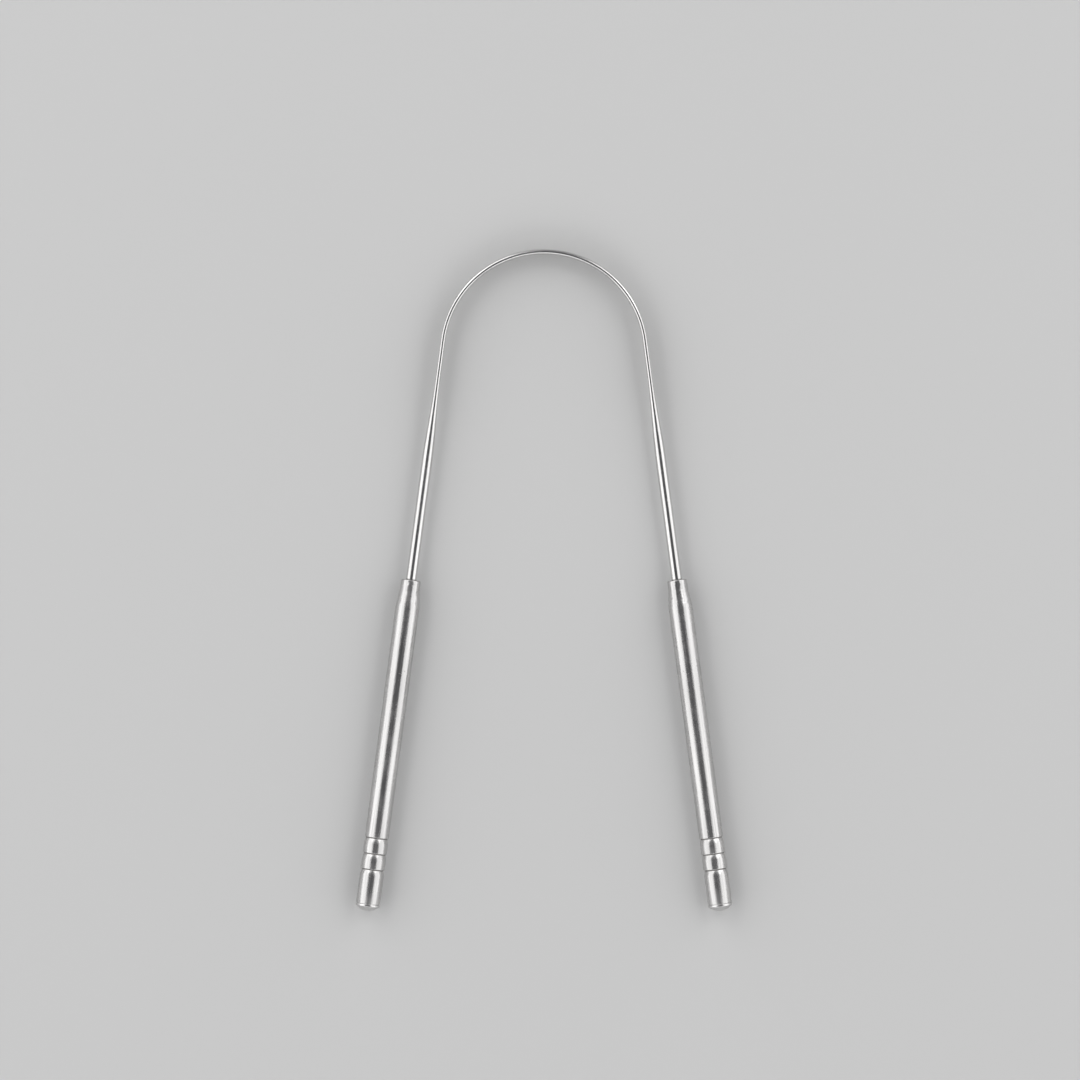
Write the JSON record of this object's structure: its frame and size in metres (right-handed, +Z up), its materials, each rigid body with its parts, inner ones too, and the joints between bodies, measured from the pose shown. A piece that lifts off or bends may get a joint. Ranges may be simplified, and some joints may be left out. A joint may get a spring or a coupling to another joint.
{
  "type": "tongue scraper",
  "caption": "U-shaped steel tongue scraper: a sprung rod rolled flat into a blade round the arch, with a ringed tube handle on each leg.",
  "frame": {"origin": "centre of the outline on the surface that the scraper lies on", "axes": "+Y from the handle tails to the crown of the arch, +Z up along the width of the blade, X across the legs"},
  "size_m": [0.0784, 0.1378, 0.005],
  "materials": {
    "polished_steel": "polished, with fine lengthwise drawing lines",
    "satin_steel": "satin, with fine polishing lines round the tube",
    "turned_steel": "turned, with fine rings on the dome",
    "bush_brass": "plain turned"
  },
  "bodies": {
    "bow": {"scraper_bow": "polished_steel"},
    "left_handle": {"left_handle_tube": "satin_steel", "left_rod_bush": "bush_brass", "left_end_cap": "turned_steel"},
    "right_handle": {"right_handle_tube": "satin_steel", "right_rod_bush": "bush_brass", "right_end_cap": "turned_steel"}
  },
  "joints": [
    {"name": "left_flex", "type": "hinge", "parent": "bow", "child": "left_handle", "pos_m": [-0.0148, 0.05809, 0.0025], "axis": [0, 0, 1], "range_deg": [-10, 10], "stiffness_Nm_per_rad": 1.64, "deforming": ["scraper_bow"]},
    {"name": "right_flex", "type": "hinge", "parent": "bow", "child": "right_handle", "pos_m": [0.0148, 0.05809, 0.0025], "axis": [0, 0, -1], "range_deg": [-10, 10], "stiffness_Nm_per_rad": 1.64, "deforming": ["scraper_bow"]}
  ]
}
